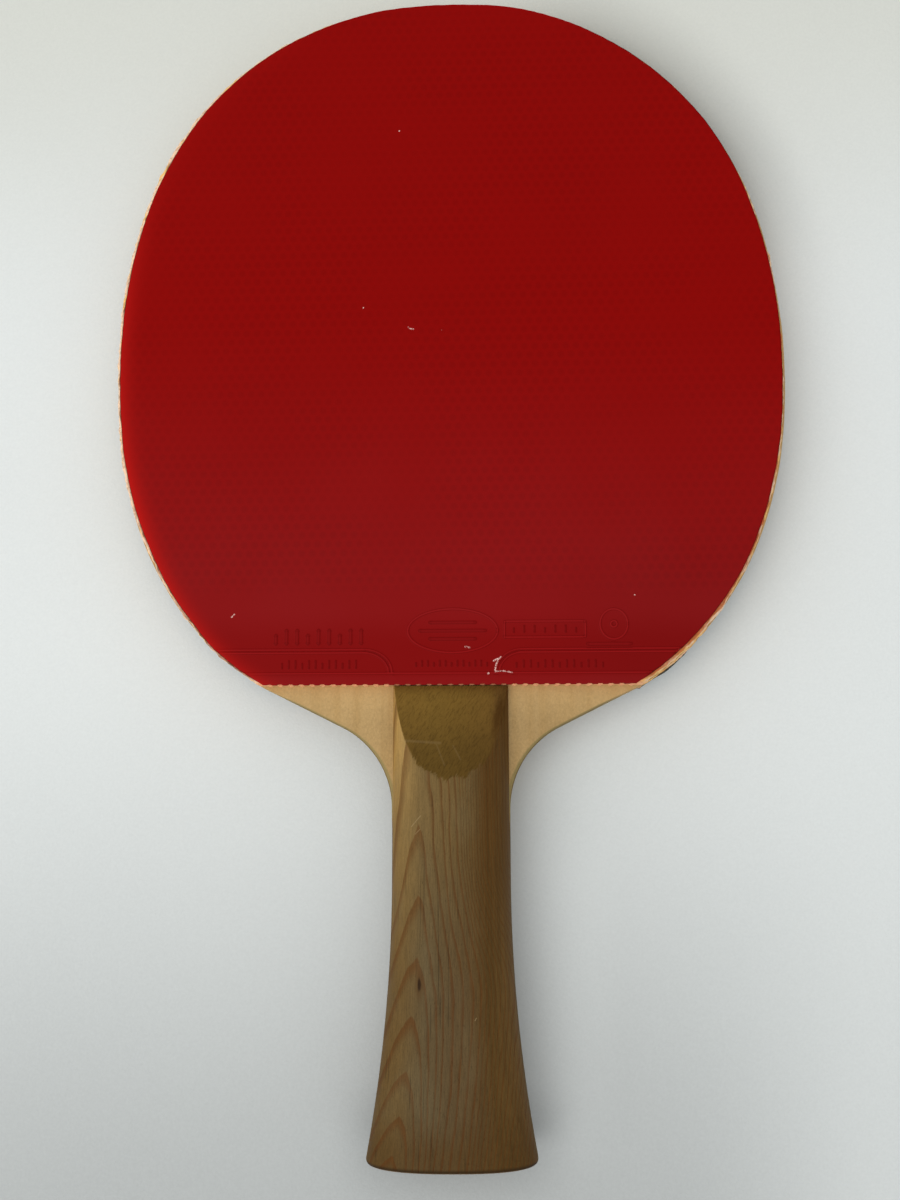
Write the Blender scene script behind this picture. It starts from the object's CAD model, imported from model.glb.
"""The looks of the table tennis paddle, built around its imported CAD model.

Shapes are worked out in millimetres in the blade's own axes: x to the right, y up from the rubbers'
straight lower edge, and z out of the red face from the blade's middle plane. world() turns them into
the frame's metres.
"""

import math

import bmesh
import bpy
import numpy as np
from mathutils import Matrix, Vector, geometry, noise

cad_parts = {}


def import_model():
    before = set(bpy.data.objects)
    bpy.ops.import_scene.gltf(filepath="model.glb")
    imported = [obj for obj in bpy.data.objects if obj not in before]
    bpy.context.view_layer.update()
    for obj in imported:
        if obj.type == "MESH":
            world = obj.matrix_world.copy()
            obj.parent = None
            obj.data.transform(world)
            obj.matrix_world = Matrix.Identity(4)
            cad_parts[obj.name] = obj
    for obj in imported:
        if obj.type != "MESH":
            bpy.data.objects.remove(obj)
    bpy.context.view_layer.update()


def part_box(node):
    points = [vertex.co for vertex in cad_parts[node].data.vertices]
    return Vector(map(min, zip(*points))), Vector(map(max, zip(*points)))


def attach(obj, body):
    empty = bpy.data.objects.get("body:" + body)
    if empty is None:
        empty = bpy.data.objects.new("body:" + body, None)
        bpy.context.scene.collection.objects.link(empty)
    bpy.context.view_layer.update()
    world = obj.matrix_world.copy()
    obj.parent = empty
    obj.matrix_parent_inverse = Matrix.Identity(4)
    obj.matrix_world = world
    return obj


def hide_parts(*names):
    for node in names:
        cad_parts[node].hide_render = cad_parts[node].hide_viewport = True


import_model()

# ---- sizes, in mm

MM = 0.001
CORE_LOW, CORE_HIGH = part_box("blade_core")
EDGE_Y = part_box("front_topsheet")[0].y
MIDDLE_Z = (CORE_LOW.z + CORE_HIGH.z) / 2

HEAD_HALF_WIDTH = CORE_HIGH.x / MM
HEAD_TOP = (CORE_HIGH.y - EDGE_Y) / MM
HEAD_CENTRE = 72.5  # height of the widest place
HEAD_DROP = 83.0  # from there to where the lower curve would close
HEAD_POWER = 2.25  # 2 is an ellipse, and more is squarer
EDGE_ANGLE = math.pi - math.acos((HEAD_CENTRE / HEAD_DROP) ** (HEAD_POWER / 2))
NECK_RADIUS = 20.0
NECK_DEPTH = 26.8

HANDLE_LENGTH = (EDGE_Y - CORE_LOW.y) / MM
HANDLE_HALF_WIDTH = 12.85
HANDLE_HALF_DEPTH = 11.2
BUTT_HALF_DEPTH = (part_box("front_handle_scale")[1].z - MIDDLE_Z) / MM
HANDLE_POWER = 2.4
FLARE_START = 42.0
FLARE_RADIUS = 311.0
BUTT_ROUNDING = 1.2
BEVEL_LENGTH = 20.6
BEVEL_FOOT = 4.2

# The glued stack, as distances of each layer's outer face from the middle plane.
CORE_FACE = 1.7
CROSS_FACE = 2.4
BLADE_FACE = 3.0
SPONGE_FACE = 4.85
SHEET_UNDERSIDE = 5.85
SHEET_FACE = (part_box("front_topsheet")[1].z - MIDDLE_Z) / MM

PIMPLE_PITCH = 2.32
PIMPLE_ROW = 2.03
PIMPLE_RADIUS = 0.85
PIMPLE_LEAN = 0.008  # the rows' slope
BESIDE_HANDLE = 13.2  # distance from the middle at which the rubbers' lower edge is clear of the handle

PAPER_HALF_SIZE = 3.0  # in metres

# How far each layer's rim lies inside the blade's outline: (angle from the top, mm) stops.
# The rubbers were cut by hand, so their two sides differ.
FRONT_SHEET_LEFT = ((0, 0.95), (0.5, 1.55), (1.2, 1.5), (1.56, 1.15), (2.05, 1.15), (2.3, 0.75),
                    (2.43, 0.2), (2.52, 0.25), (2.6, 0.4))
FRONT_SHEET_RIGHT = ((0, 0.95), (0.1, 0.8), (0.6, 1.9), (1.2, 1.7), (1.56, 1.15), (1.85, 1.2),
                     (2.15, 0.95), (2.3, 1.0), (2.6, 0.8))
FRONT_SPONGE_LEFT = ((0, 0.4), (0.4, -0.3), (1.0, -0.45), (1.25, -0.15), (1.8, -0.05), (2.1, 0.2),
                     (2.3, 0.1), (2.43, -0.1), (2.6, 0.1))
FRONT_SPONGE_RIGHT = ((0, 0.5), (0.9, 0.75), (1.4, 0.7), (1.9, 0.35), (2.3, 0.2), (2.6, 0.1))
BACK_SHEET_LEFT = ((0, 0.4), (1.5, 0.2), (2.6, 0.3))
BACK_SHEET_RIGHT = ((0, 0.4), (1.5, 0.3), (2.0, 0.1), (2.15, -0.15), (2.40, -0.25), (2.43, -0.55),
                    (2.5, -0.65), (2.55, -0.2), (2.59, -0.1), (2.61, -0.55))
BACK_SPONGE_LEFT = ((0, 0.4), (2.6, 0.4))
BACK_SPONGE_RIGHT = ((0, 0.4), (2.2, 0.3), (2.4, -0.2), (2.6, 0.0))
WOOD_LEFT = ((0, 0.0), (2.6, 0.0))
WOOD_RIGHT = ((0, 0.0), (0.5, 0.1), (0.9, 0.4), (1.35, 0.4), (1.55, 0.0), (2.6, 0.0))


def ease(value, low, high):
    """0 at low, 1 at high, and a smooth step between them."""
    share = min(1.0, max(0.0, (value - low) / (high - low)))
    return share * share * (3 - 2 * share)


def follow(stops, at):
    """The value at a place that lies among (place, value) stops."""
    for (start, first), (end, last) in zip(stops, stops[1:]):
        if at <= end:
            return first + (last - first) * ease(at, start, end)
    return stops[-1][1]


def wobble(along, seed, size, length):
    """Smooth noise along a line: its size and the length of its waves."""
    return size * noise.noise(Vector((along / length + 0.31, seed * 7.7, 0.53)))


def world(x, y, z):
    return (x * MM, EDGE_Y + y * MM, MIDDLE_Z + z * MM)


# ---- outlines


def head_point(angle):
    """A point of the blade's head. The angle is 0 at the top and negative on the left."""
    across = math.copysign(abs(math.sin(angle)) ** (2 / HEAD_POWER), angle)
    along = abs(math.cos(angle)) ** (2 / HEAD_POWER)
    reach = HEAD_TOP - HEAD_CENTRE if abs(angle) < math.pi / 2 else -HEAD_DROP
    return Vector((HEAD_HALF_WIDTH * across, HEAD_CENTRE + reach * along))


def rim(inset, step, beyond=0.0):
    """Points a step apart round the head, from its left corner over the top to its right corner.
    inset(angle, along) says how far inside the blade's outline each one lies."""
    angles = np.linspace(-EDGE_ANGLE - beyond, EDGE_ANGLE + beyond, 4001)
    spots = [head_point(angle) for angle in angles]
    along = np.concatenate([[0], np.cumsum([(b - a).length for a, b in zip(spots, spots[1:])])])
    points = []
    for travelled in np.linspace(0, along[-1], round(along[-1] / step) + 1):
        angle = float(np.interp(travelled, along, angles))
        tangent = head_point(angle + 1e-3) - head_point(angle - 1e-3)
        outward = Vector((-tangent.y, tangent.x)).normalized()
        points.append(head_point(angle) - outward * inset(angle, travelled))
    return points


def side_stops(left, right, angle):
    return follow(left if angle < 0 else right, abs(angle))


def above_edge(points, count):
    """A line round the head cut off at the rubbers' lower edge, as a fixed count of even steps."""
    kept = [index for index, point in enumerate(points) if point.y > 0]
    line = []
    for index in (kept[0], kept[-1] + 1):
        before, after = points[index - 1], points[index]
        line.append(before.lerp(after, before.y / (before.y - after.y)))
    line[1:1] = points[kept[0]:kept[-1] + 1]
    xy = np.array([tuple(point) for point in line])
    along = np.concatenate([[0], np.cumsum(np.hypot(*np.diff(xy, axis=0).T))])
    stops = np.linspace(0, along[-1], count)
    even_x, even_y = (np.interp(stops, along, xy[:, axis]) for axis in (0, 1))
    return [Vector(spot) for spot in zip(even_x, even_y)]


def lower_edge(start, end, count, height):
    """Points of a rubber's lower edge between its two corners. height(x) says how high each one is."""
    points = []
    for index in range(1, count):
        share = index / count
        x = start.x + (end.x - start.x) * share
        points.append(Vector((x, height(x) * min(1.0, 30 * share, 30 * (1 - share)))))
    return points


def arches(x):
    """1 in the middle of each pimple of the row at the lower edge, and 0 between them."""
    return max(0.0, math.cos(2 * math.pi * x / PIMPLE_PITCH)) ** 0.6


def cut_outline(inset, height):
    """A rubber layer's closed outline: round the head, and back along its scalloped lower edge."""
    points = above_edge(rim(inset, 0.45, 0.06), 950)
    return points + lower_edge(points[-1], points[0], 400, height)


def sheet_outline(left, right, seed):
    """A topsheet's hand-cut outline, a closed ring that starts at its left corner."""

    def inset(angle, along):
        ragged = wobble(along, seed, 0.10, 9) + wobble(along, seed + 1, 0.07, 1.3)
        return side_stops(left, right, angle) + ragged

    return cut_outline(inset, lambda x: 0.32 * arches(x) - 0.10)


def sponge_outline(sheet, left, right, share, seed):
    """A sponge's outline. share is 0 at the wood and 1 under the topsheet, where it is cut back."""

    def inset(angle, along):
        at_wood = side_stops(left, right, angle)
        at_sheet = max(at_wood, side_stops(*sheet, angle) - 0.25)
        blob = max(0.0, wobble(along, seed + 5, 1.0, 4.7) - 0.42)
        ragged = wobble(along, seed, 0.10, 6) + wobble(along, seed + 2 + share, 0.40, 1.2)
        return at_wood + (at_sheet - at_wood) * share**1.8 + ragged - blob

    def height(x):
        hang = 0.27 if abs(x) > BESIDE_HANDLE else 0.13
        return 0.08 - hang * arches(x)

    return cut_outline(inset, height)


def flare_half_width(depth):
    beyond = max(0.0, depth - FLARE_START)
    return HANDLE_HALF_WIDTH + FLARE_RADIUS - math.sqrt(FLARE_RADIUS**2 - beyond**2)


def handle_half_depth(depth):
    full_at = HANDLE_LENGTH - BUTT_ROUNDING
    share = min(1.0, max(0.0, depth - FLARE_START) / (full_at - FLARE_START))
    return HANDLE_HALF_DEPTH + (BUTT_HALF_DEPTH - HANDLE_HALF_DEPTH) * share**2


def rounding_inset(from_butt):
    """How far the surface draws in near the butt, which is rounded over."""
    if from_butt >= BUTT_ROUNDING:
        return 0.0
    return BUTT_ROUNDING - math.sqrt(BUTT_ROUNDING**2 - (BUTT_ROUNDING - from_butt) ** 2)


def handle_depths(start, step):
    """Distances below the rubbers' edge at which the handle is drawn, down to its rounded butt."""
    straight_end = HANDLE_LENGTH - BUTT_ROUNDING
    count = round((straight_end - start) / step)
    depths = [start + (straight_end - start) * index / count for index in range(count)]
    for index in range(7):
        depths.append(straight_end + BUTT_ROUNDING * math.sin(math.pi / 2 * index / 6))
    return depths


def neck_points():
    """The right side of the neck, from the shoulder to the side of the handle."""
    shoulder = head_point(EDGE_ANGLE)
    centre = Vector((HANDLE_HALF_WIDTH + NECK_RADIUS, -NECK_DEPTH))
    to_shoulder = shoulder - centre
    start = math.atan2(to_shoulder.y, to_shoulder.x) + math.acos(NECK_RADIUS / to_shoulder.length)
    arc = [start + (math.pi - start) * index / 24 for index in range(25)]
    touch = [centre + NECK_RADIUS * Vector((math.cos(angle), math.sin(angle))) for angle in arc]
    straight = [shoulder.lerp(touch[0], index / 8) for index in range(1, 8)]
    return straight + touch


def sanding(y, height):
    """How far the neck's edge is rounded off at a height above the middle plane."""
    radius = 1.3 * ease(-y, -1.0, 5.0) * (1 - ease(-y, 22.0, 32.0))
    if radius <= 0:
        return 0.0
    over = min(1.0, max(0.0, (abs(height) - (BLADE_FACE - radius)) / radius))
    return radius * (1 - math.sqrt(1 - over * over))


def blade_outline(height):
    """The whole blade's outline at a height above the middle plane: head, neck and tang."""

    def inset(angle, along):
        return side_stops(WOOD_LEFT, WOOD_RIGHT, angle) + wobble(along, 3, 0.05, 5)

    head = rim(inset, 1.0)
    side = []
    for point in neck_points():
        side.append(Vector((point.x - sanding(point.y, height), point.y)))
    for depth in handle_depths(NECK_DEPTH, 2.0)[1:]:
        share = (1 - (abs(height) / handle_half_depth(depth)) ** HANDLE_POWER) ** (1 / HANDLE_POWER)
        share = 1 + (share - 1) * ease(depth, NECK_DEPTH, NECK_DEPTH + 6)
        half = flare_half_width(depth) - rounding_inset(HANDLE_LENGTH - depth)
        side.append(Vector((half * share - sanding(-depth, height), -depth)))
    return head + side + [Vector((-point.x, point.y)) for point in reversed(side)]


# ---- mesh building


def new_piece(name, points, faces, material, sharp=40.0):
    """A mesh object from points in mm."""
    mesh = bpy.data.meshes.new(name)
    mesh.from_pydata([world(*point) for point in points], [], faces)
    mesh.materials.append(material)
    mesh.update()
    piece = bpy.data.objects.new(name, mesh)
    bpy.context.scene.collection.objects.link(piece)
    mesh.shade_smooth()
    mesh.set_sharp_from_angle(angle=math.radians(sharp))
    return piece


def outward_normals(piece):
    """Turns every face of each closed shell outward."""
    shells = bmesh.new()
    shells.from_mesh(piece.data)
    bmesh.ops.recalc_face_normals(shells, faces=shells.faces)
    shells.to_mesh(piece.data)
    shells.free()


def add_value(piece, name, values):
    """A number for each point, which the piece's material reads."""
    attribute = piece.data.attributes.new(name, "FLOAT", "POINT")
    attribute.data.foreach_set("value", np.asarray(values, np.float32))


def band(lower, upper, size, turned):
    """The faces between two rings of the same size, given the index of each ring's first point."""
    faces = []
    for index in range(size):
        beside = (index + 1) % size
        face = (lower + index, lower + beside, upper + beside, upper + index)
        faces.append(face[::-1] if turned else face)
    return faces


def stack(name, rings, material):
    """A closed piece from rings of (outline, height), in order of height. Rings run clockwise."""
    size = len(rings[0][0])
    points = [(point.x, point.y, height) for outline, height in rings for point in outline]
    faces = [tuple(range(size))]
    for index in range(len(rings) - 1):
        faces += band(index * size, (index + 1) * size, size, True)
    faces.append(tuple(range((len(rings) - 1) * size, len(rings) * size))[::-1])
    piece = new_piece(name, points, faces, material)
    outward_normals(piece)
    return piece


def drawn_in(ring, distance):
    """A clockwise ring moved inward."""
    moved = []
    for index, point in enumerate(ring):
        along = ring[(index + 1) % len(ring)] - ring[index - 1]
        moved.append(point + Vector((along.y, -along.x)).normalized() * distance)
    return moved


# Moulded marks: (points, half width, height). A stroke's top is flat over half of its width.

LINE = (0.30, 0.13)
BAR = (0.42, 0.11)
FINE = (0.24, 0.09)


def ellipse(x, y, across, up, start=0, end=360, count=40):
    turns = [math.radians(start + (end - start) * index / count) for index in range(count + 1)]
    return [(x + across * math.cos(turn), y + up * math.sin(turn)) for turn in turns]


def bars(left, right, low, high, count, style):
    """A row of upright bars, in the place of a word."""
    made = []
    for index in range(count):
        x = left + style[0] + (right - left - 2 * style[0]) * index / (count - 1)
        tall = 1.0 if index % 3 else 0.72
        made.append(([(x, low + style[0]), (x, low + (high - low) * tall - style[0])], *style))
    return made


def title_frames():
    """The two double-lined frames that run in from the rims, and the line along the lower edge."""
    made = [([(-60, 2.45), (60, 2.4)], *LINE)]
    for turn_x, across, side in ((-18.9, 6.2, -1), (15.8, 5.9, 1)):
        for top, shrink in ((7.65, 0.0), (6.95, 0.75)):
            corner = ellipse(turn_x, 2.6, across - shrink, top - 2.6, 90, 0 if side < 0 else 180, 16)
            made.append(([(side * 60, top)] + corner, *LINE))
    return made


def front_marks():
    made = title_frames()
    made += bars(-38.5, -19.0, 8.5, 12.4, 9, BAR)
    made += bars(-36.9, -20.3, 3.3, 5.5, 12, FINE)
    made += bars(-7.7, 8.2, 3.7, 5.4, 13, FINE)
    made += bars(14.1, 33.3, 3.4, 5.4, 13, FINE)
    made.append((ellipse(0.5, 11.7, 9.8, 4.8), *LINE))
    for y, half in ((13.5, 5.0), (11.7, 7.2), (9.9, 5.0)):
        made.append(([(0.5 - half, y), (0.5 + half, y)], *BAR))
    box = [(11.8, 10.2), (29.4, 10.2), (29.4, 13.7), (11.8, 13.7), (11.8, 10.2)]
    made.append((box, *LINE))
    made += bars(13.6, 27.6, 11.0, 13.0, 7, FINE)
    made.append((ellipse(35.6, 13.0, 3.0, 3.3), *LINE))
    made.append((ellipse(35.6, 13.0, 0.7, 0.7, count=10), *LINE))
    made.append(([(29.8, 8.65), (39.3, 8.65)], *BAR))
    return made


def back_marks():
    """The other rubber is of another kind: one framed title and two rows of marks."""
    made = [([(-60, 2.4), (60, 2.4)], *LINE)]
    made += bars(-14.0, 14.0, 6.0, 10.5, 11, BAR)
    made.append((ellipse(0, 8.3, 18.0, 4.6), *LINE))
    made += bars(24.0, 38.0, 4.5, 6.5, 9, FINE)
    made += bars(-38.0, -24.0, 4.5, 6.5, 9, FINE)
    return made


# Scratches and specks on the red rubber: (points, half width).
FRONT_SCUFFS = (
    ([(11.0, 5.9), (10.3, 5.2), (9.9, 4.0), (9.7, 2.8)], 0.19),
    ([(9.7, 2.7), (11.4, 2.85), (13.4, 2.5)], 0.15),
    ([(10.4, 5.6), (9.3, 5.0)], 0.14),
    ([(8.2, 2.3), (8.3, 2.35)], 0.24),
    ([(3.2, 8.2), (4.3, 7.9)], 0.17),
    ([(-9.3, 80.9), (-8.8, 80.5), (-8.1, 80.4)], 0.15),
    ([(-19.5, 85.5), (-19.4, 85.6)], 0.15),
    ([(-1.9, 80.1), (-1.8, 80.1)], 0.12),
    ([(-11.5, 128.1), (-11.4, 128.2)], 0.16),
    ([(-66.4, 118.1), (-66.0, 117.7)], 0.14),
    ([(40.2, 19.3), (40.3, 19.4)], 0.17),
    ([(-47.9, 14.9), (-47.3, 15.6)], 0.17),
)


def inside(ring, spots):
    """Whether each of an array's points lies inside a closed ring."""
    corners = np.array([tuple(point) for point in ring])
    within = np.zeros(len(spots), bool)
    for (start_x, start_y), (end_x, end_y) in zip(corners, np.roll(corners, -1, axis=0)):
        crosses = (start_y > spots[:, 1]) != (end_y > spots[:, 1])
        rise = end_y - start_y if end_y != start_y else 1.0
        reach = start_x + (spots[:, 1] - start_y) * (end_x - start_x) / rise
        within ^= crosses & (spots[:, 0] < reach)
    return within


def points_about(path, half_width):
    """Points along a stroke, on both its slopes and just beside it, for a mesh to be built on."""
    made = []
    corners = [Vector(point) for point in path]
    for start, end in zip(corners, corners[1:]):
        along = (end - start).normalized()
        across = Vector((-along.y, along.x))
        count = max(1, round((end - start).length / 0.55))
        for index in range(count + 1):
            centre = start.lerp(end, index / count)
            for offset in (-1.6, -1.0, -0.5, 0.0, 0.5, 1.0, 1.6):
                made.append(centre + across * offset * half_width)
    for tip in (corners[0], corners[-1]):
        for index in range(16):
            turn = math.pi / 4 * index
            reach = half_width * (1.0 if index < 8 else 1.6)
            made.append(tip + reach * Vector((math.cos(turn), math.sin(turn))))
    return made


def stroke_share(xy, path, half_width):
    """For each point of an array, 1 on a stroke's top, 0 off it, and a slope between."""
    nearest = np.full(len(xy), 1e9)
    for start, end in zip(np.array(path[:-1], float), np.array(path[1:], float)):
        along = end - start
        reach = np.clip(((xy - start) @ along) / max(along @ along, 1e-9), 0, 1)
        nearest = np.minimum(nearest, np.hypot(*(xy - start - reach[:, None] * along).T))
    share = np.clip((half_width - nearest) / (0.5 * half_width), 0, 1)
    return share * share * (3 - 2 * share)


def pimples(outline):
    """Rings of the pimples under a topsheet near its rim, cut off where the sheet is cut."""
    ring = np.array([tuple(point) for point in outline])
    along = np.roll(ring, -1, axis=0) - ring
    made = []
    for row in range(int(HEAD_TOP / PIMPLE_ROW) + 1):
        for column in range(-34, 35):
            x = (column + 0.5 * (row % 2)) * PIMPLE_PITCH
            centre = np.array((x, row * PIMPLE_ROW + 0.85 + PIMPLE_LEAN * x))
            share = np.clip(((centre - ring) * along).sum(1) / (along * along).sum(1), 0, 1)
            offset = centre - ring - share[:, None] * along
            near = int(np.argmin((offset * offset).sum(1)))
            outward = np.array((-along[near][1], along[near][0])) / np.hypot(*along[near])
            beyond = float(offset[near] @ outward)
            if not -4.2 < beyond < 0.4:
                continue
            circle = []
            for index in range(12):
                turn = 2 * math.pi * index / 12
                point = centre + PIMPLE_RADIUS * np.array((math.cos(turn), math.sin(turn)))
                over = beyond + float((point - centre) @ outward)
                circle.append(point - outward * max(0.0, over + 0.04))
            made.append(circle)
    return made


def topsheet(name, outline, side, marks, scuffs, material):
    """A rubber sheet with its moulded marks, and with the pimples that its cut edge shows."""
    inner = drawn_in(outline, 0.2)
    loose = drawn_in(outline, 0.5)
    for path, half_width in [stroke[:2] for stroke in (*marks, *scuffs)]:
        loose += points_about(path, half_width)
    for row in range(1, int(HEAD_TOP / 4)):
        loose += [Vector((column * 4.4 + 2.2 * (row % 2), row * 4 + 16)) for column in range(-18, 19)]
    kept = inside(drawn_in(outline, 0.35), np.array([tuple(point) for point in loose]))
    loose = [point for point, within in zip(loose, kept) if within]
    made = geometry.delaunay_2d_cdt(inner + loose, [], [list(range(len(inner)))], 1, 1e-4, True)
    spots, triangles, sources = made[0], made[2], made[3]
    xy = np.array([tuple(spot) for spot in spots])
    relief = np.zeros(len(xy))
    for path, half_width, rise in marks:
        relief = np.maximum(relief, rise * stroke_share(xy, path, half_width))
    scuff = np.zeros(len(xy))
    for path, half_width in scuffs:
        scuff = np.maximum(scuff, stroke_share(xy, path, half_width))

    points = [(x, y, side * (SHEET_FACE + rise)) for (x, y), rise in zip(xy, relief)]
    faces = [tuple(face) for face in triangles]
    place = {source: index for index, group in enumerate(sources) for source in group}
    size = len(outline)
    shoulder, foot = len(points), len(points) + size
    points += [(point.x, point.y, side * (SHEET_FACE - 0.06)) for point in outline]
    points += [(point.x, point.y, side * SHEET_UNDERSIDE) for point in outline]
    for index in range(size):
        beside = (index + 1) % size
        faces.append((place[index], place[beside], shoulder + beside, shoulder + index))
    faces += band(foot, shoulder, size, True)
    faces.append(tuple(range(foot, foot + size)))
    for circle in pimples(outline):
        first = len(points)
        points += [(x, y, side * (SHEET_UNDERSIDE + 0.02)) for x, y in circle]
        points += [(x, y, side * SPONGE_FACE) for x, y in circle]
        faces += band(first, first + 12, 12, False)
        faces += [tuple(range(first, first + 12)), tuple(range(first + 12, first + 24))[::-1]]
    piece = new_piece(name, points, faces, material, sharp=60.0)
    add_value(piece, "scuff", np.concatenate([scuff, np.zeros(len(points) - len(scuff))]))
    add_value(piece, "raised", np.concatenate([relief / LINE[1], np.zeros(len(points) - len(relief))]))
    at_cut = np.zeros(len(points))
    at_cut[shoulder:shoulder + size] = 1.0
    add_value(piece, "at_cut", at_cut)
    outward_normals(piece)
    return piece


def ply(name, low, high, count, material):
    """A veneer or the core between two heights, whose edge follows the rounded neck."""
    heights = [low + (high - low) * index / count for index in range(count + 1)]
    return stack(name, [(blade_outline(height), height) for height in heights], material)


def sponge(name, sheet, left, right, side, seed, material):
    """A layer of foam between the blade and a topsheet, drawn at five heights."""
    rings = []
    for share in (0.0, 0.3, 0.6, 0.85, 1.0):
        height = BLADE_FACE + (SPONGE_FACE - BLADE_FACE) * share
        rings.append((sponge_outline(sheet, left, right, share, seed), side * height))
    return stack(name, rings, material)


def bevel_height(depth):
    return BEVEL_FOOT + (HANDLE_HALF_DEPTH - BEVEL_FOOT) * depth / BEVEL_LENGTH


def soft_lowest(first, second, blend):
    """The lower of two heights, with a rounded change from one to the other."""
    share = min(1.0, max(0.0, 0.5 + 0.5 * (second - first) / blend))
    return second + (first - second) * share - blend * share * (1 - share) * 0.5


def handle_scale(name, side, material):
    """A wooden scale: crowned, sloping down to the rubber at its upper end, worn and sanded."""
    across_count = 110
    points, cut = [], []
    depths = handle_depths(0.12, 0.42)
    for depth in depths:
        inset = rounding_inset(HANDLE_LENGTH - depth)
        width = flare_half_width(depth) - inset
        rise = handle_half_depth(depth) - inset
        foot = math.asin((BLADE_FACE / rise) ** (HANDLE_POWER / 2))
        points.append((width * 0.93, -depth, side * BLADE_FACE))
        cut.append(-9.0)
        for index in range(across_count + 1):
            angle = foot + (math.pi - 2 * foot) * index / across_count
            share = math.copysign(abs(math.cos(angle)) ** (2 / HANDLE_POWER), math.cos(angle))
            x = width * share
            z = rise * math.sin(angle) ** (2 / HANDLE_POWER)
            worn = 0.05 * noise.noise(Vector((x / 7, depth / 11, side * 3.1)))
            plane = bevel_height(depth) + 0.06 * noise.noise(Vector((x / 5, depth / 5, 9.0)))
            blend = 0.25 + 0.5 * ease(x, 2.0, 11.0)
            lowered = soft_lowest(z + worn, plane, blend) if depth < BEVEL_LENGTH + 6 else z + worn
            seam = 0.10 * (1 - ease(z, BLADE_FACE, BLADE_FACE + 0.12))
            points.append((x - math.copysign(seam, x), -depth, side * max(lowered, BLADE_FACE)))
            cut.append(z + worn - plane)
        points.append((-width * 0.93, -depth, side * BLADE_FACE))
        cut.append(-9.0)
    size = across_count + 3
    faces = [tuple(range(size))]
    for index in range(len(depths) - 1):
        faces += band(index * size, (index + 1) * size, size, False)
    faces.append(tuple(range((len(depths) - 1) * size, len(depths) * size)))
    piece = new_piece(name, points, faces, material, sharp=50.0)
    add_value(piece, "cut", cut)
    outward_normals(piece)
    return piece


# ---- shader building


def linear(red, green, blue):
    """A colour as screens write it, 0 to 255, as a shader takes it."""
    shares = [channel / 255 for channel in (red, green, blue)]
    return (*[c / 12.92 if c <= 0.04045 else ((c + 0.055) / 1.055) ** 2.4 for c in shares], 1.0)


def plug(tree, item, slot):
    if isinstance(item, Wire):
        tree.links.new(item.socket, slot)
    elif isinstance(item, bpy.types.NodeSocket):
        tree.links.new(item, slot)
    else:
        slot.default_value = item


class Wire:
    """A number in a shader. Arithmetic on it adds math nodes."""

    def __init__(self, tree, socket):
        self.tree, self.socket = tree, socket

    def math(self, operation, *others, clamp=False):
        made = self.tree.nodes.new("ShaderNodeMath")
        made.operation, made.use_clamp = operation, clamp
        for slot, item in zip(made.inputs, (self, *others)):
            plug(self.tree, item, slot)
        return Wire(self.tree, made.outputs[0])

    def __add__(self, other):
        return self.math("ADD", other)

    def __sub__(self, other):
        return self.math("SUBTRACT", other)

    def __mul__(self, other):
        return self.math("MULTIPLY", other)

    def __truediv__(self, other):
        return self.math("DIVIDE", other)

    def __neg__(self):
        return self.math("MULTIPLY", -1.0)

    def __rsub__(self, other):
        return (-self) + other

    __radd__ = __add__
    __rmul__ = __mul__

    def absolute(self):
        return self.math("ABSOLUTE")

    def fraction(self):
        return self.math("FRACT")

    def kept(self):
        """Kept between 0 and 1."""
        return self.math("ADD", 0.0, clamp=True)

    def step(self, low, high):
        """0 at low, 1 at high, eased, and kept between them. High may be the smaller."""
        made = self.tree.nodes.new("ShaderNodeMapRange")
        made.interpolation_type = "SMOOTHSTEP"
        plug(self.tree, self, made.inputs["Value"])
        flip = low > high
        made.inputs["From Min"].default_value = high if flip else low
        made.inputs["From Max"].default_value = low if flip else high
        made.inputs["To Min"].default_value = 1.0 if flip else 0.0
        made.inputs["To Max"].default_value = 0.0 if flip else 1.0
        return Wire(self.tree, made.outputs["Result"])

    def ramp(self, low, high):
        """0 at low, 1 at high, straight between, and kept between them."""
        return ((self - low) / (high - low)).kept()


def parts(tree, socket):
    """The x, y and z of a vector in a shader."""
    made = tree.nodes.new("ShaderNodeSeparateXYZ")
    tree.links.new(socket, made.inputs[0])
    return [Wire(tree, output) for output in made.outputs]


def length(across, along):
    """The length of a flat vector in a shader."""
    return (across * across + along * along).math("SQRT")


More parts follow.
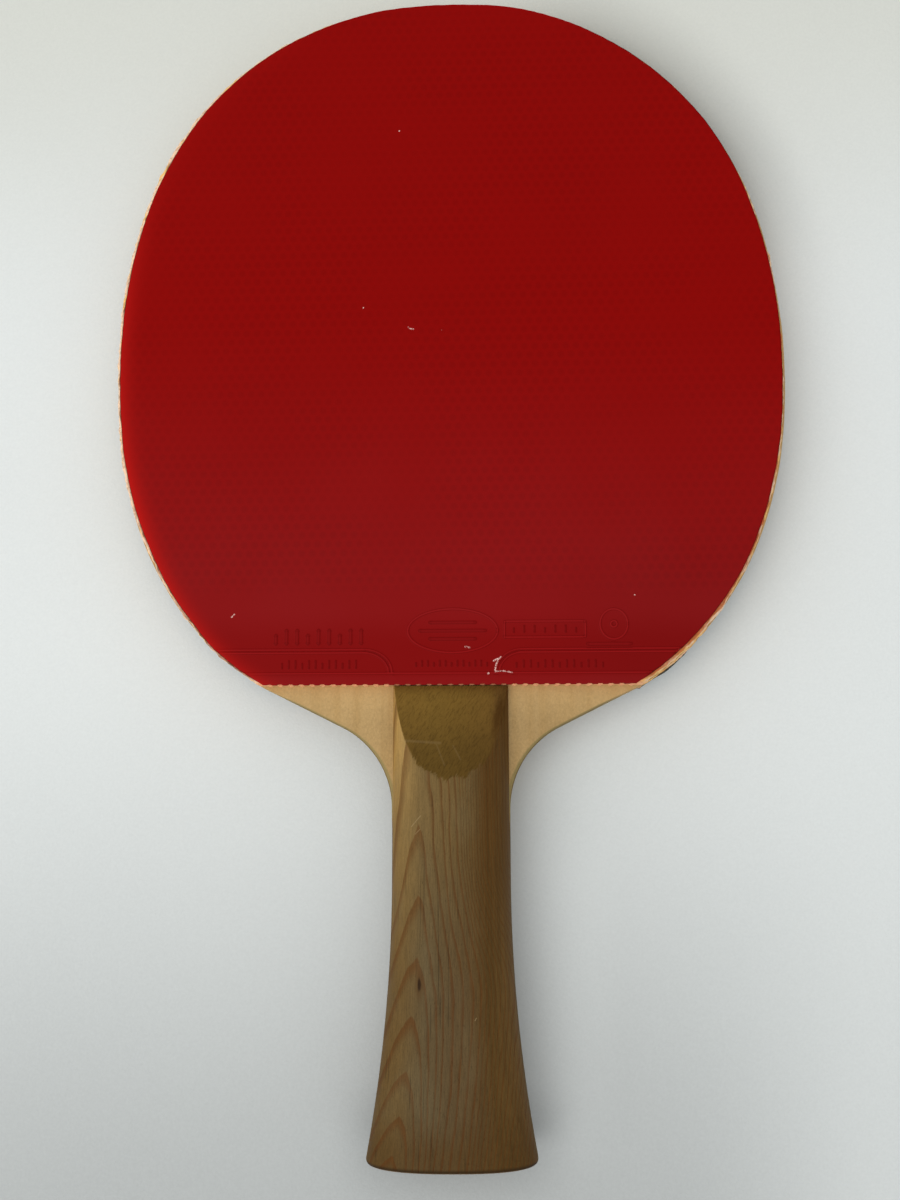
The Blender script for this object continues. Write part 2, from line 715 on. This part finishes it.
class Paint:
    """A material in the making, with its place in mm and a few ready nodes."""

    def __init__(self, name):
        self.material = bpy.data.materials.new(name)
        self.material.use_nodes = True
        self.tree = self.material.node_tree
        self.shader = self.tree.nodes["Principled BSDF"]
        x, y, z = parts(self.tree, self.tree.nodes.new("ShaderNodeTexCoord").outputs["Object"])
        self.x = x / MM
        self.y = (y - EDGE_Y) / MM
        self.z = (z - MIDDLE_Z) / MM
        self.place = (self.x, self.y, self.z)

    def noise(self, stretch, detail=2.0, roughness=0.5, offset=0.0, at=None):
        """Noise from 0 to 1. stretch is the waves' length in mm along x, y and z."""
        x, y, z = at or self.place
        joined = self.tree.nodes.new("ShaderNodeCombineXYZ")
        for slot, part, wave in zip(joined.inputs, (x, y, z), stretch):
            plug(self.tree, part / wave + offset, slot)
        made = self.tree.nodes.new("ShaderNodeTexNoise")
        self.tree.links.new(joined.outputs[0], made.inputs["Vector"])
        made.inputs["Scale"].default_value = 1.0
        made.inputs["Detail"].default_value = detail
        made.inputs["Roughness"].default_value = roughness
        return Wire(self.tree, made.outputs[0])

    def value(self, name):
        made = self.tree.nodes.new("ShaderNodeAttribute")
        made.attribute_name = name
        return Wire(self.tree, made.outputs["Fac"])

    def mix(self, share, first, second):
        made = self.tree.nodes.new("ShaderNodeMix")
        made.data_type = "RGBA"
        plug(self.tree, share, made.inputs[0])
        plug(self.tree, first, made.inputs[6])
        plug(self.tree, second, made.inputs[7])
        return made.outputs[2]

    def shade(self, colour, amount):
        """A colour made lighter or darker by an amount, 1 leaving it as it is."""
        made = self.tree.nodes.new("ShaderNodeVectorMath")
        made.operation = "SCALE"
        wired = isinstance(colour, bpy.types.NodeSocket)
        plug(self.tree, colour if wired else colour[:3], made.inputs[0])
        plug(self.tree, amount, made.inputs["Scale"])
        return made.outputs[0]

    def colours(self, share, stops):
        """A colour that runs through (place, (red, green, blue)) stops."""
        made = self.tree.nodes.new("ShaderNodeValToRGB")
        plug(self.tree, share, made.inputs[0])
        elements = made.color_ramp.elements
        while len(elements) < len(stops):
            elements.new(0.5)
        for element, (at, colour) in zip(elements, stops):
            element.position, element.color = at, linear(*colour)
        return made.outputs[0]

    def stroke(self, start, end, half_width):
        """1 on a straight mark between two points of the plane, fading to 0 at its half width."""
        along_x, along_y = end[0] - start[0], end[1] - start[1]
        from_x, from_y = self.x - start[0], self.y - start[1]
        share = ((from_x * along_x + from_y * along_y) / (along_x**2 + along_y**2)).kept()
        return length(from_x - share * along_x, from_y - share * along_y).step(half_width, 0.0)

    def head_share(self):
        """0 at the middle of the head, 1 on the blade's outline round it, and more beyond."""
        upper = self.y.step(HEAD_CENTRE - 0.1, HEAD_CENTRE + 0.1)
        reach = upper * (HEAD_TOP - HEAD_CENTRE - HEAD_DROP) + HEAD_DROP
        across = (self.x.absolute() / HEAD_HALF_WIDTH).math("POWER", HEAD_POWER)
        along = ((self.y - HEAD_CENTRE).absolute() / reach).math("POWER", HEAD_POWER)
        return (across + along).math("POWER", 1 / HEAD_POWER)

    def done(self, colour, roughness, bump=None, depth=0.1, specular=0.5):
        """Wires the surface up. depth is the bump's height in mm."""
        plug(self.tree, colour, self.shader.inputs["Base Color"])
        plug(self.tree, roughness, self.shader.inputs["Roughness"])
        self.shader.inputs["Specular IOR Level"].default_value = specular
        if bump is not None:
            made = self.tree.nodes.new("ShaderNodeBump")
            made.inputs["Strength"].default_value = 1.0
            made.inputs["Distance"].default_value = depth * MM
            plug(self.tree, bump, made.inputs["Height"])
            self.tree.links.new(made.outputs[0], self.shader.inputs["Normal"])
        return self.material


# ---- materials


def rubber_paint(name, face, mark, edge, pimple, glow, specular):
    """Smooth rubber over pimples, which show through as a faint pattern of dots. Light from the left
    glows in its rim."""
    paint = Paint(name)
    x, y = paint.x + paint.y * PIMPLE_LEAN, paint.y - paint.x * PIMPLE_LEAN - 0.85
    row = (y / PIMPLE_ROW + 0.5).math("FLOOR")
    shift = (row * 0.5).fraction() * PIMPLE_PITCH
    off_x = ((x - shift) / PIMPLE_PITCH + 0.5).fraction() - 0.5
    off_y = (y / PIMPLE_ROW + 0.5).fraction() - 0.5
    patches = paint.noise((26, 22, 30), 2.0, 0.5, 3.1).step(0.30, 0.62)
    dots = length(off_x * PIMPLE_PITCH, off_y * PIMPLE_ROW).step(1.15, 0.35) * (0.35 + patches * 0.65)
    dots = dots * paint.y.step(17.0, 24.0)

    clouds = paint.noise((38, 38, 40), 3.0, 0.55)
    grain = paint.noise((0.5, 0.5, 0.5), 2.0, 0.6)
    lower = paint.y.step(50.0, 4.0)
    title = paint.y.step(17.0, 8.0) * paint.y.step(1.2, 2.6)
    level = 1.0 - dots * 0.085 + (clouds - 0.5) * 0.08 + (grain - 0.5) * 0.05 - title * 0.08
    level = level - lower * (0.05 + paint.x.step(10.0, 45.0) * 0.10) + paint.x.step(-40.0, -76.0) * 0.04
    colour = paint.shade(linear(*face), level)
    raised = paint.value("raised")
    slope = raised * (1.0 - raised) * 4.0
    colour = paint.shade(paint.mix(raised * 0.8, colour, linear(*mark)), 1.0 - slope * 0.34)
    haze = paint.y.step(90.0, 4.0) * (0.4 + clouds * 0.8) * (1.0 - title * 0.55) * (1.0 - slope * 0.8)
    colour = paint.mix(haze * 0.045, colour, linear(110, 104, 112))

    from_rim = (1.0 - paint.head_share()) * HEAD_HALF_WIDTH
    from_edge = from_rim - paint.y.step(5.0, 45.0) * 1.4 + 0.2
    glow_width = 4.6 + paint.y.step(5.0, 40.0) * 1.4
    lit = (1.0 - (from_edge - 0.5) / glow_width).kept().math("POWER", 3.0)
    lit = lit * paint.x.step(-26.0, -42.0) * (0.60 + paint.y.step(2.0, 18.0) * 0.40)
    lit = lit * (1.0 - paint.y.step(30.0, 78.0) * 0.36 - paint.y.step(80.0, 125.0) * 0.50)
    colour = paint.mix(lit, colour, linear(*glow))

    at_cut = paint.value("at_cut")
    nicks = paint.noise((0.7, 0.7, 2.0), 2.0, 0.6, 8.8).step(0.34, 0.50)
    line = at_cut.step(0.05, 0.75) * nicks
    line = line * paint.y.step(157.0, 150.0) * paint.y.step(0.0, 2.0)
    colour = paint.mix(line * 0.9, colour, linear(*edge))
    far_line = at_cut.step(0.1, 0.9) * paint.y.step(146.0, 154.0)
    colour = paint.mix(far_line * 0.5, colour, paint.shade(colour, 2.2))

    normal = parts(paint.tree, paint.tree.nodes.new("ShaderNodeNewGeometry").outputs["Normal"])
    cut = normal[2].absolute().step(0.55, 0.2)
    dashes = paint.noise((0.9, 0.9, 2.0), 1.0, 0.5, 5.5).step(0.42, 0.52)
    side = paint.mix(dashes * paint.x.step(20.0, 50.0), linear(*edge), linear(*pimple))
    colour = paint.mix(cut, colour, side)
    under = paint.z.absolute().step(SHEET_UNDERSIDE + 0.06, SHEET_UNDERSIDE)
    colour = paint.mix(under, colour, linear(*pimple))
    scuff = paint.value("scuff") * paint.noise((0.22, 0.22, 0.22), 2.0, 0.6, 1.3).step(0.42, 0.56)
    colour = paint.mix(scuff, colour, linear(248, 206, 196))

    roughness = 0.42 + (clouds - 0.5) * 0.10 + scuff * 0.3
    return paint.done(colour, roughness, dots * 0.25 + grain * 0.5, 0.03, specular)


def sponge_paint():
    """Cut foam: pale, pinkish where it is clean, and yellow where glue has soaked in."""
    paint = Paint("sponge_foam")
    pores = paint.noise((0.22, 0.22, 0.22), 3.0, 0.65)
    glue = paint.noise((5, 5, 3), 3.0, 0.6, 4.7)
    aged = paint.noise((30, 30, 30), 1.0, 0.5, 9.2)
    upper = paint.z.absolute().step(SPONGE_FACE - 0.7, SPONGE_FACE - 0.1) * paint.y.step(0.5, 2.5)
    glue = glue + paint.x.step(20.0, 55.0) * 0.10
    colour = paint.mix(glue.step(0.50, 0.64), linear(254, 214, 180), linear(252, 200, 122))
    colour = paint.mix(aged.step(0.50, 0.66) * 0.3, colour, linear(216, 172, 130))
    stained = paint.mix(paint.x.step(0.0, -30.0), linear(206, 118, 66), linear(112, 58, 38))
    colour = paint.mix(upper * (0.45 + glue.step(0.40, 0.60) * 0.5), colour, stained)
    gaps = paint.noise((0.8, 0.8, 3.0), 2.0, 0.6, 6.3).step(0.50, 0.60)
    colour = paint.mix(gaps * (0.4 - paint.x.step(25.0, 50.0) * 0.25), colour, linear(158, 108, 74))
    ends = paint.y.step(0.9, 0.3)
    tip = paint.mix(paint.x.absolute().step(14.0, 12.0), linear(244, 184, 136), linear(188, 126, 92))
    colour = paint.mix(ends, colour, tip)
    colour = paint.shade(colour, 0.90 + pores * 0.26)
    return paint.done(colour, 0.9, pores, 0.12, 0.2)


def veneer_paint(name, tone, dark, worn_edge, crosswise=False):
    """Bare sanded wood with a fine mottle, grimy where hands have rounded the neck's edge."""
    paint = Paint(name)
    clouds = paint.noise((14, 16, 14), 2.0, 0.5, 7.4)
    if crosswise:
        paint.place = (paint.y, paint.x, paint.z)
    streaks = paint.noise((2.4, 40, 1.6), 3.0, 0.6)
    pores = paint.noise((0.18, 0.8, 0.16), 2.0, 0.6, 2.2)
    mottle = paint.noise((0.42, 0.60, 0.4), 2.0, 0.75, 5.9)
    colour = paint.mix(streaks.step(0.38, 0.70) * 0.45, linear(*tone), linear(*dark))
    level = 1.0 + (clouds - 0.5) * 0.30 + (mottle - 0.5) * 0.50 - pores.step(0.58, 0.72) * 0.08
    level = level + paint.y.step(-6.0, -1.5) * 0.09 - paint.y.step(-4.0, -9.0) * 0.08
    colour = paint.shade(colour, level)
    rounded = (BLADE_FACE - paint.z.absolute()).step(0.0, 0.16) * paint.y.step(-0.5, -4.0)
    colour = paint.mix(rounded * 0.70, colour, paint.shade(linear(*worn_edge), 0.8 + mottle * 0.4))
    held = paint.y.step(-NECK_DEPTH, -NECK_DEPTH - 5) * 0.9
    colour = paint.mix(held, colour, paint.shade(linear(96, 74, 42), 0.8 + mottle * 0.4))
    roughness = 0.66 - mottle * 0.12
    return paint.done(colour, roughness, mottle * 0.6 + pores * 0.4, 0.05, 0.06)


# The handle's scratches: (start, end, half width, how pale it is).
HANDLE_SCRATCHES = (
    ((-9.6, -12.3), (-2.2, -12.8), 0.50, 0.11),
    ((-3.0, -13.0), (-1.2, -17.6), 0.30, 0.08),
    ((0.6, -13.4), (2.2, -16.4), 0.30, 0.08),
    ((-8.2, -30.4), (-6.3, -28.2), 0.20, 0.35),
    ((-7.4, -32.0), (-6.4, -31.0), 0.16, 0.30),
    ((-15.2, -75.0), (-14.6, -76.2), 0.14, 0.6),
    ((5.0, -69.9), (5.3, -69.4), 0.14, 0.5),
)


def handle_paint(name, mirror):
    """A plainsawn board: arched growth rings on its left, and straight close ones on its right."""
    paint = Paint(name)
    x = paint.x * mirror
    paint.place = (x, paint.y, paint.z)
    depth = -paint.y

    # The growth rings: their axis leans to the left further down, and late is each ring's dark wood.
    beyond = (depth - 45.0).math("MAXIMUM", 0.0)
    drift = paint.noise((9, 60, 9), 2.0, 0.5, 1.1) - 0.5
    waver = paint.noise((2.0, 11, 3), 2.0, 0.55, 6.1) - 0.5
    axis = -6.8 - beyond * beyond * 0.0019
    off = x - axis + drift * 2.0 + waver * 0.5
    off = off * (1.0 - off.step(0.0, -2.0) * 0.30) * (1.0 + depth.step(66.0, 34.0) * 0.55)
    pointed = off * off + off.absolute() * 0.9
    radius = (pointed - depth * 1.32 + 150.0).math("MAXIMUM", 0.2).math("SQRT")
    rings = radius.ramp(3.9, 10.65) * 7.0 + radius.ramp(10.65, 16.8) * 4.0
    rings = rings + (radius - 16.8).math("MAXIMUM", 0.0) / 0.85
    phase = (rings + waver * 0.30 + 0.1).fraction()
    late = phase.step(0.58, 0.93) * phase.step(1.0, 0.95)

    # The early wood's colour from the left side to the right, near the head and near the butt.
    side = (x / (12.6 + beyond * beyond * 0.0016)).ramp(-1.0, 1.0)
    upper = paint.colours(side, ((0.0, (140, 108, 58)), (0.10, (136, 108, 63)), (0.26, (118, 94, 56)),
                                 (0.5, (113, 89, 52)), (0.66, (101, 78, 43)), (0.8, (89, 62, 28)),
                                 (1.0, (100, 72, 34))))
    lower = paint.colours(side, ((0.0, (102, 76, 39)), (0.12, (104, 80, 45)), (0.3, (98, 80, 52)),
                                 (0.5, (97, 77, 49)), (0.66, (97, 74, 44)), (0.8, (94, 69, 34)),
                                 (1.0, (112, 83, 44))))
    early = paint.mix(depth.step(22.0, 68.0), upper, lower)
    corner = depth.step(32.0, 9.0) * side.step(0.26, 0.05)
    early = paint.shade(early, 1.0 + corner * 0.75 - depth.step(26.0, 40.0) * side.step(0.1, 0.3) * 0.09)
    early = paint.shade(early, 1.0 - depth.step(76.0, 97.0) * 0.12)
    early = paint.mix(depth.step(88.0, 97.0) * 0.6, early, linear(84, 60, 28))
    close = side.step(0.60, 0.82)
    strength = (0.66 + drift * 0.6) * (1.0 - close * 0.35)
    colour = paint.mix(late * strength, early, paint.shade(early, 0.50))
    colour = paint.mix(late * 0.35, colour, linear(112, 62, 20))
    bands = paint.noise((0.9, 55, 0.9), 3.0, 0.65, 8.3)
    fibre = paint.noise((0.17, 4, 0.20), 3.0, 0.75, 3.7)
    flecks = paint.noise((0.16, 0.9, 0.2), 1.0, 0.5, 5.3).step(0.66, 0.74)
    grain = paint.noise((0.22, 0.45, 0.3), 2.0, 0.7, 7.7)
    vessels = paint.noise((0.5, 26, 0.8), 2.0, 0.55, 4.4).step(0.64, 0.72)
    level = 1.0 + (bands - 0.5) * (0.26 + close * 0.5) + (fibre - 0.5) * 0.95 - flecks * 0.20
    level = level - vessels * (1.0 - close) * 0.30 + (grain - 0.5) * 0.35
    grey = paint.noise((7, 16, 9), 3.0, 0.6, 2.9).step(0.42, 0.70) * (1.0 - close)
    grey = grey * depth.step(97.0, 86.0)
    colour = paint.mix(grey * 0.22, colour, linear(112, 98, 70))
    colour = paint.shade(colour, level)

    # The slope at the upper end, cut across the grain with a slanting tool.
    lean_x, lean_y = x * 0.86 - paint.y * 0.5, x * 0.5 + paint.y * 0.86
    ticks = paint.noise((0.34, 1.9, 0.6), 3.0, 0.7, 1.9, (lean_x, lean_y, paint.z))
    blotch = paint.noise((2.6, 3.4, 3.0), 3.0, 0.6, 0.7)
    fade = depth.step(12.0, 19.0)
    ragged = (blotch - 0.5) * (0.4 + fade * 1.6) + (ticks - 0.5) * fade * 1.2
    slope = (paint.value("cut") + ragged).step(-0.18, 0.18)
    olive = paint.colours(side, ((0.0, (118, 88, 37)), (0.35, (117, 88, 37)), (0.6, (113, 84, 35)),
                                 (0.85, (110, 80, 34)), (1.0, (104, 74, 31))))
    olive = paint.mix(ticks.step(0.46, 0.66) * 0.42, olive, linear(74, 50, 16))
    level = 0.68 + blotch * 0.30 + bands * 0.18 + grain * 0.16
    olive = paint.shade(olive, (1.10 - depth.step(2.0, 18.0) * 0.42) * level)
    smudge = length(x - 10.5 + (depth - 6.4) * 0.22, (depth - 6.4) / 4.8)
    smudge = smudge + (ticks - 0.5) * 1.6 + (blotch - 0.5)
    colour = paint.mix(slope * (1.0 - side.step(0.82, 0.92) * 0.75), colour, olive)
    colour = paint.mix(smudge.step(1.5, 0.2) * 0.72, colour, linear(66, 39, 8))

    # A small knot, a few scratches and the end grain of the butt.
    knot = length((x + 6.5) / 0.50, (depth - 62.8) / 1.8) + (fibre - 0.5) * 0.8
    colour = paint.mix(knot.step(2.4, 0.8) * 0.45, colour, linear(84, 54, 24))
    colour = paint.mix(knot.step(1.0, 0.4) * 0.85, colour, linear(40, 24, 11))
    strokes = []
    for start, end, half_width, pale in HANDLE_SCRATCHES:
        ends = (start[0] * mirror, start[1]), (end[0] * mirror, end[1])
        strokes.append(paint.stroke(*ends, half_width) * pale)
    scratches = strokes[0]
    for stroke in strokes[1:]:
        scratches = scratches.math("MAXIMUM", stroke)
    colour = paint.mix(scratches, colour, linear(176, 150, 108))

    end_grain = depth.step(HANDLE_LENGTH - 0.45, HANDLE_LENGTH - 0.1)
    arcs = (length(x + 10.0, paint.z.absolute() + 6.0) / 1.5 + waver * 0.4).fraction()
    cut_end = paint.mix(arcs.step(0.4, 0.95) * 0.6, linear(112, 84, 48), linear(70, 46, 22))
    colour = paint.mix(end_grain, colour, paint.shade(cut_end, 0.75 + fibre * 0.5))
    dirt = depth.step(HANDLE_LENGTH - 1.3, HANDLE_LENGTH - 0.4) * (1.0 - end_grain)
    colour = paint.mix(dirt * 0.8, colour, linear(40, 27, 12))

    roughness = 0.52 + (fibre - 0.5) * 0.2 + late * 0.04 + slope * 0.12
    bump = fibre * 0.5 - late * 0.25 - flecks * 0.4 - vessels * 0.3
    bump = bump - scratches * 0.5 + ticks * slope * 0.4
    return paint.done(colour, roughness, bump, 0.06, 0.05)


# ---- floor, light and camera


def paper_paint():
    """Pale paper, with the soft shading that the room lays on it near the paddle."""
    paint = Paint("pale_paper")
    from_middle = paint.x.absolute()
    tooth = paint.noise((0.6, 0.6, 0.6), 3.0, 0.6)
    clouds = paint.noise((70, 70, 70), 2.0, 0.5, 6.6)
    right = paint.x.step(45.0, 100.0) * paint.x.step(330.0, 160.0) * paint.y.step(-300.0, -140.0)
    near = paint.y.step(20.0, -135.0) * paint.y.step(-560.0, -170.0) * (0.40 - right * 0.22)
    beside = paint.x.step(2.0, 14.0) * paint.x.step(40.0, 24.0) * paint.y.step(-20.0, -45.0)
    near = near * (1.0 - beside * paint.y.step(-108.0, -86.0) * 0.4)
    near = near * from_middle.step(520.0, 170.0)
    far = paint.y.step(80.0, 175.0) * paint.y.step(640.0, 260.0)

    beyond = (paint.head_share() - 1.0) * (HEAD_TOP - HEAD_CENTRE)
    corner = paint.x.step(5.0, 40.0) * paint.y.step(90.0, 134.0)
    corner = corner * (beyond.step(24.0, 4.0) * 0.22 + beyond.step(9.0, -1.0) * 0.24)
    butt = from_middle.step(28.0, 14.0) * paint.y.step(-84.0, -97.0) * paint.y.step(-116.0, -99.0)
    level = 1.0 - near + (tooth - 0.5) * 0.10 + (clouds - 0.5) * 0.04
    level = level * (1.0 - corner - butt * 0.20)
    colour = paint.mix(far, linear(231, 233, 231), linear(220, 220, 212))
    return paint.done(paint.shade(colour, level), 0.9, tooth, 0.05, 0.05)


def add_floor():
    """A pale surface that the paddle rests on, by the head's far edge and the back of its handle
    where the bevel ends."""
    head_low, head_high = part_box("back_topsheet")
    touch_y, reach_y = EDGE_Y - (BEVEL_LENGTH + 1.0) * MM, head_high.y - 4 * MM
    touch_z = MIDDLE_Z - (HANDLE_HALF_DEPTH + 0.05) * MM
    slope = math.atan2(head_low.z - touch_z, reach_y - touch_y)
    half = PAPER_HALF_SIZE
    corners = [(-half, -half, 0), (half, -half, 0), (half, half, 0), (-half, half, 0)]
    mesh = bpy.data.meshes.new("floor")
    mesh.from_pydata(corners, [], [(0, 1, 2, 3)])
    mesh.materials.append(paper_paint())
    floor = bpy.data.objects.new("floor", mesh)
    bpy.context.scene.collection.objects.link(floor)
    floor.rotation_euler.x = slope
    floor.location = (0, 0, touch_z - 0.0001 - touch_y * math.tan(slope))


def add_light():
    """A soft window to the left, and a room that is brighter above, to the left and near."""
    light = bpy.data.lights.new("window", "AREA")
    light.shape = "RECTANGLE"
    light.size, light.size_y = 0.7, 0.7
    light.energy = 2.3
    light.color = (1.0, 1.0, 0.98)
    window = bpy.data.objects.new("window", light)
    bpy.context.scene.collection.objects.link(window)
    window.location = (-0.45, -0.25, 0.84)
    window.rotation_euler = (-Vector(window.location)).to_track_quat("-Z", "Y").to_euler()

    room = bpy.data.worlds.new("room")
    room.use_nodes = True
    tree = room.node_tree
    direction = tree.nodes.new("ShaderNodeTexCoord").outputs["Generated"]
    to_right, to_far, to_above = parts(tree, direction)
    strength = 0.54 + to_above * 0.40 - to_right * 0.25 - to_far * 0.08
    plug(tree, strength, tree.nodes["Background"].inputs["Strength"])
    tree.nodes["Background"].inputs["Color"].default_value = (0.96, 0.99, 1.0, 1.0)
    bpy.context.scene.world = room
    bpy.context.scene.view_settings.view_transform = "Standard"


def add_camera():
    """Held above the paddle's waist, and tilted a little towards the head and to the left."""
    place = world(7.11, -29.66, 312.75)
    up_tilt, left_tilt, roll = (math.radians(angle) for angle in (8.926, -1.335, -0.147))
    forward = Vector((
        math.sin(left_tilt) * math.cos(up_tilt),
        math.sin(up_tilt),
        -math.cos(up_tilt) * math.cos(left_tilt),
    ))
    right = forward.cross(Vector((0, 1, 0))).normalized()
    up = right.cross(forward).normalized()
    right, up = (
        math.cos(roll) * right + math.sin(roll) * up,
        math.cos(roll) * up - math.sin(roll) * right,
    )
    data = bpy.data.cameras.new("camera")
    data.lens = 42.555
    data.sensor_width = 36.0
    data.clip_start, data.clip_end = 0.01, 20.0
    camera = bpy.data.objects.new("camera", data)
    bpy.context.scene.collection.objects.link(camera)
    axes = Matrix((right, up, -forward)).transposed().to_4x4()
    camera.matrix_world = Matrix.Translation(place) @ axes
    bpy.context.scene.camera = camera


# ---- the paddle


def place_piece(piece, node):
    """Says which CAD node a piece stands for, and that it moves with the paddle."""
    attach(piece, "root")
    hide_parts(node)


def add_rubbers():
    red = rubber_paint(
        "red_sheet", face=(140, 5, 3), mark=(145, 14, 14), edge=(58, 18, 11), pimple=(226, 140, 108),
        glow=(182, 20, 15), specular=0.03,
    )
    black = rubber_paint(
        "black_sheet", face=(27, 27, 28), mark=(40, 40, 42), edge=(34, 35, 31), pimple=(70, 72, 60),
        glow=(27, 27, 28), specular=0.30,
    )
    foam = sponge_paint()
    front = (FRONT_SHEET_LEFT, FRONT_SHEET_RIGHT)
    back = (BACK_SHEET_LEFT, BACK_SHEET_RIGHT)
    sheet = topsheet("red_rubber_sheet", sheet_outline(*front, 1), 1, front_marks(), FRONT_SCUFFS, red)
    place_piece(sheet, "front_topsheet")
    sheet = topsheet("black_rubber_sheet", sheet_outline(*back, 5), -1, back_marks(), (), black)
    place_piece(sheet, "back_topsheet")
    layer = sponge("red_rubber_sponge", front, FRONT_SPONGE_LEFT, FRONT_SPONGE_RIGHT, 1, 11, foam)
    place_piece(layer, "front_sponge")
    layer = sponge("black_rubber_sponge", back, BACK_SPONGE_LEFT, BACK_SPONGE_RIGHT, -1, 23, foam)
    place_piece(layer, "back_sponge")


def add_blade():
    face = veneer_paint("face_veneer_wood", (188, 154, 104), (174, 138, 86), (132, 120, 76))
    cross = veneer_paint(
        "cross_veneer_wood", (176, 136, 86), (150, 112, 66), (92, 82, 48), crosswise=True
    )
    core = veneer_paint("core_wood", (190, 158, 108), (168, 134, 86), (128, 118, 82))
    for name, low, high, count, material, node, slot in (
        ("core_ply", -CORE_FACE, CORE_FACE, 2, core, "blade_core", "core_wood"),
        ("front_cross_ply", CORE_FACE, CROSS_FACE, 3, cross, "front_cross_veneer", "cross_wood"),
        ("back_cross_ply", -CROSS_FACE, -CORE_FACE, 3, cross, "back_cross_veneer", "cross_wood"),
        ("front_face_ply", CROSS_FACE, BLADE_FACE, 6, face, "front_face_veneer", "face_wood"),
        ("back_face_ply", -BLADE_FACE, -CROSS_FACE, 6, face, "back_face_veneer", "face_wood"),
    ):
        place_piece(ply(name, low, high, count, material), node)


def add_handle():
    for name, side, node in (
        ("front_scale", 1, "front_handle_scale"),
        ("back_scale", -1, "back_handle_scale"),
    ):
        material = handle_paint(name + "_wood", side)
        place_piece(handle_scale(name, side, material), node)


add_camera()
add_light()
add_floor()
add_rubbers()
add_blade()
add_handle()
